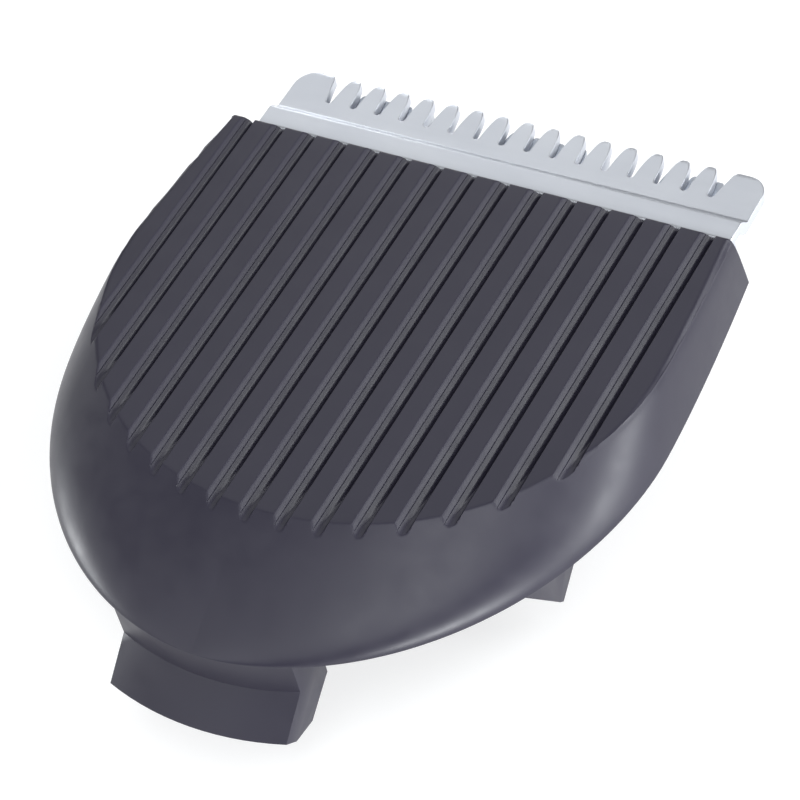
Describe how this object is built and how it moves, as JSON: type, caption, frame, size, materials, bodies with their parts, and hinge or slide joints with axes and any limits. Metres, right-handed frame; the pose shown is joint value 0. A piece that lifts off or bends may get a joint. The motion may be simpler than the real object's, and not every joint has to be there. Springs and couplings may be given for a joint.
{
  "type": "click-on hair clipper head",
  "caption": "Click-on cutting head of a hair clipper: ribbed cap over a crank drive that shifts a toothed cutter under a fixed comb-toothed guard.",
  "frame": {"origin": "on the drive axis, at the foot of the coupling collar", "axes": "+X across the head, +Y towards the blade tips, +Z towards the ribbed face"},
  "size_m": [0.038, 0.0444, 0.013],
  "materials": {
    "housing_plastic": "satin moulded ABS, dark grey-black",
    "collar_plastic": "fine matt moulded ABS",
    "coupling_plastic": "matt glass-filled nylon",
    "guard_steel": "fine ground stainless steel",
    "cutter_steel": "ground hardened steel",
    "screw_steel": "zinc plated steel",
    "spring_steel": "bright spring steel",
    "shaft_steel": "ground steel",
    "bush_bronze": "sintered bronze",
    "oil_felt": "oiled wool felt",
    "drive_plastic": "natural acetal",
    "carrier_plastic": "natural acetal"
  },
  "bodies": {
    "head": {"top_housing": "housing_plastic", "base_housing": "housing_plastic", "coupling_collar": "collar_plastic", "guard_blade": "guard_steel", "blade_screws": "screw_steel", "housing_screws": "screw_steel", "upper_bush": "bush_bronze", "lower_bush": "bush_bronze", "felt_ring": "oil_felt", "left_leaf_spring": "spring_steel", "right_leaf_spring": "spring_steel"},
    "crank": {"drive_shaft": "shaft_steel", "eccentric_disc": "drive_plastic", "eccentric_pin": "shaft_steel", "pin_roller": "drive_plastic", "thrust_washer": "shaft_steel", "retaining_ring": "spring_steel", "coupling_clip": "spring_steel", "coupling_spring": "spring_steel"},
    "coupling": {"drive_coupling": "coupling_plastic"},
    "cutter": {"moving_cutter": "cutter_steel", "cutter_carrier": "carrier_plastic", "cutter_rivets": "screw_steel"}
  },
  "joints": [
    {"name": "crank_turn", "type": "hinge", "parent": "head", "child": "crank", "pos_m": [0, 0, 0.0084], "axis": [0, 0, 1], "range_deg": [-90, 90]},
    {"name": "cutter_stroke", "type": "slide", "parent": "head", "child": "cutter", "axis": [1, 0, 0], "range_m": [-0.0011, 0.0011]},
    {"name": "coupling_press", "type": "slide", "parent": "crank", "child": "coupling", "axis": [0, 0, 1], "range_m": [0, 0.0006], "stiffness_N_per_m": 400, "deforming": ["coupling_spring"]}
  ],
  "couplings": [
    {"joint": "crank_turn", "follows": "cutter_stroke", "rad_per_m": -1428.6}
  ]
}
